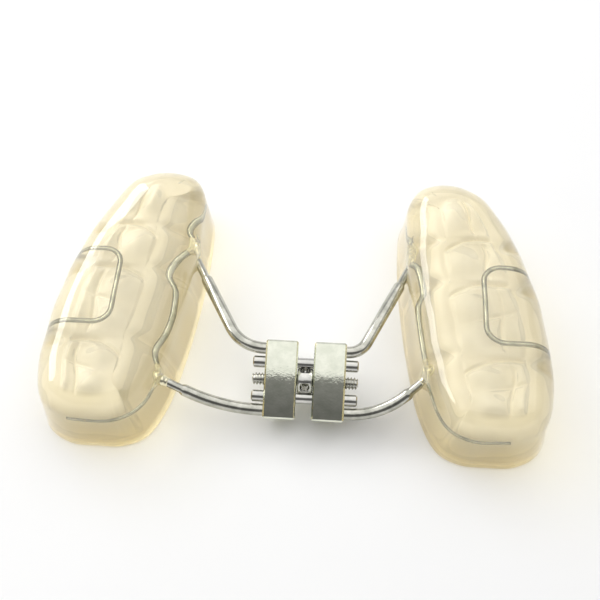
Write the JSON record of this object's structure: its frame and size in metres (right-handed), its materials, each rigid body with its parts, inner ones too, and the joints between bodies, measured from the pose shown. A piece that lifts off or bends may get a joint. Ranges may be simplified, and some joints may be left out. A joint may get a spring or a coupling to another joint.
{
  "type": "palatal expander",
  "caption": "Bonded palatal expander: a jackscrew between two clear acrylic splints that seat over the side teeth, joined by bent steel arms and frame wires.",
  "frame": {"origin": "under the middle of the pair of splints, on the plane of their gum rims", "axes": "+X along the screw to the right of the picture, +Y towards the front teeth, +Z towards the biting side"},
  "size_m": [0.0646, 0.0388, 0.0106],
  "materials": {
    "screw_steel": "bright milled stainless steel",
    "wire_steel": "drawn stainless wire, polished",
    "solder": "dull silver solder",
    "acrylic": "clear, slightly yellow, glossy"
  },
  "bodies": {
    "guide_pins": {"guide_pin_front": "screw_steel", "guide_pin_rear": "screw_steel"},
    "spindle": {"spindle": "screw_steel"},
    "left_half": {"screw_block_left": "screw_steel", "arm_left_front": "wire_steel", "arm_left_rear": "wire_steel", "palatal_wire_left": "wire_steel", "buccal_loop_left": "wire_steel", "solder_left_front": "solder", "solder_left_rear": "solder", "acrylic_pad_left": "acrylic"},
    "right_half": {"screw_block_right": "screw_steel", "arm_right_front": "wire_steel", "arm_right_rear": "wire_steel", "palatal_wire_right": "wire_steel", "buccal_loop_right": "wire_steel", "solder_right_front": "solder", "solder_right_rear": "solder", "acrylic_pad_right": "acrylic"}
  },
  "joints": [
    {"name": "spindle_turn", "type": "hinge", "parent": "guide_pins", "child": "spindle", "pos_m": [0.0013, -0.0108, 0.0044], "axis": [1, 0, 0], "range_deg": [0, 3150]},
    {"name": "left_half_slide", "type": "slide", "parent": "guide_pins", "child": "left_half", "axis": [-1, 0, 0], "range_m": [0, 0.0035]},
    {"name": "right_half_slide", "type": "slide", "parent": "guide_pins", "child": "right_half", "axis": [1, 0, 0], "range_m": [0, 0.0035]}
  ],
  "couplings": [
    {"joint": "right_half_slide", "follows": "left_half_slide", "ratio": 1},
    {"joint": "spindle_turn", "follows": "left_half_slide", "rad_per_m": 15708}
  ]
}
